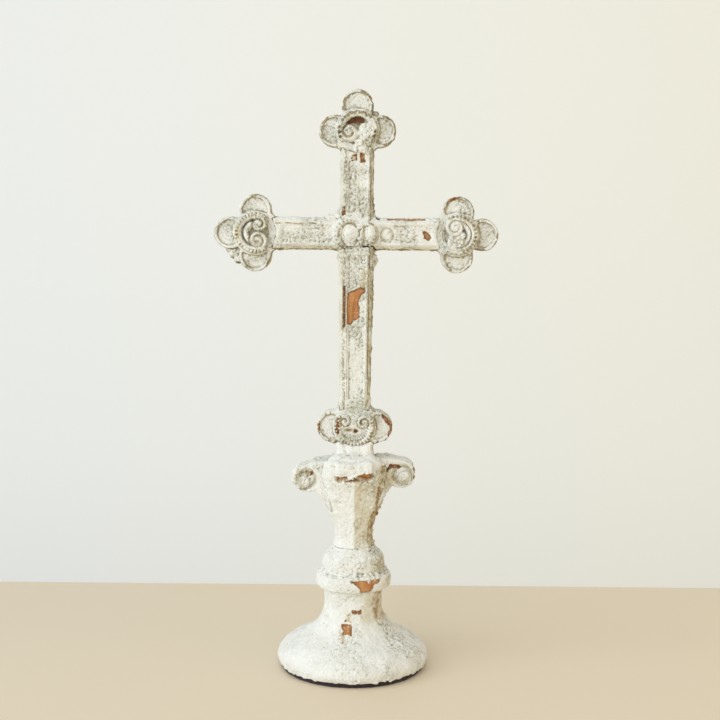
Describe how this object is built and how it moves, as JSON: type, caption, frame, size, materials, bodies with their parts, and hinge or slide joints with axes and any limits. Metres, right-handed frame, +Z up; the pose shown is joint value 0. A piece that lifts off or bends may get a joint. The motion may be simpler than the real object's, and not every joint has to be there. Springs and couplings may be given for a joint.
{
  "type": "altar cross",
  "caption": "Standing cross with scalloped three-lobed bar ends and scroll ornaments, on a turned pedestal with a flared eight-sided stem and a round bell-shaped foot.",
  "frame": {"origin": "centre of the underside of the felt pad, on the table", "axes": "+Z up along the upright, +X towards the right arm seen from the front, the front faces -Y"},
  "size_m": [0.1908, 0.104, 0.395],
  "materials": {
    "painted_wood": "thick crumbly cream paint, chipped to smooth orange-brown wood",
    "bare_wood": "plain turned hardwood",
    "pad": "black felt",
    "steel": "zinc-plated steel",
    "brass": "plain brass"
  },
  "bodies": {
    "root": {"felt_pad": "pad", "foot": "painted_wood", "collar_ring": "painted_wood", "knop": "painted_wood", "stem": "painted_wood", "neck": "painted_wood", "volute_left": "painted_wood", "volute_right": "painted_wood", "lip_front": "painted_wood", "lip_rear": "painted_wood", "upright": "painted_wood", "crossbar": "painted_wood", "top_end": "painted_wood", "left_end": "painted_wood", "right_end": "painted_wood", "lower_end": "painted_wood", "crest_top_front": "painted_wood", "crest_left_front": "painted_wood", "crest_right_front": "painted_wood", "crest_lower_front": "painted_wood", "crest_top_rear": "painted_wood", "crest_left_rear": "painted_wood", "crest_right_rear": "painted_wood", "crest_lower_rear": "painted_wood", "boss_front": "painted_wood", "boss_rear": "painted_wood", "dowel_top": "bare_wood", "dowel_left": "bare_wood", "dowel_right": "bare_wood", "tie_rod": "steel", "nut": "steel", "washer": "steel", "insert": "brass"}
  },
  "joints": []
}
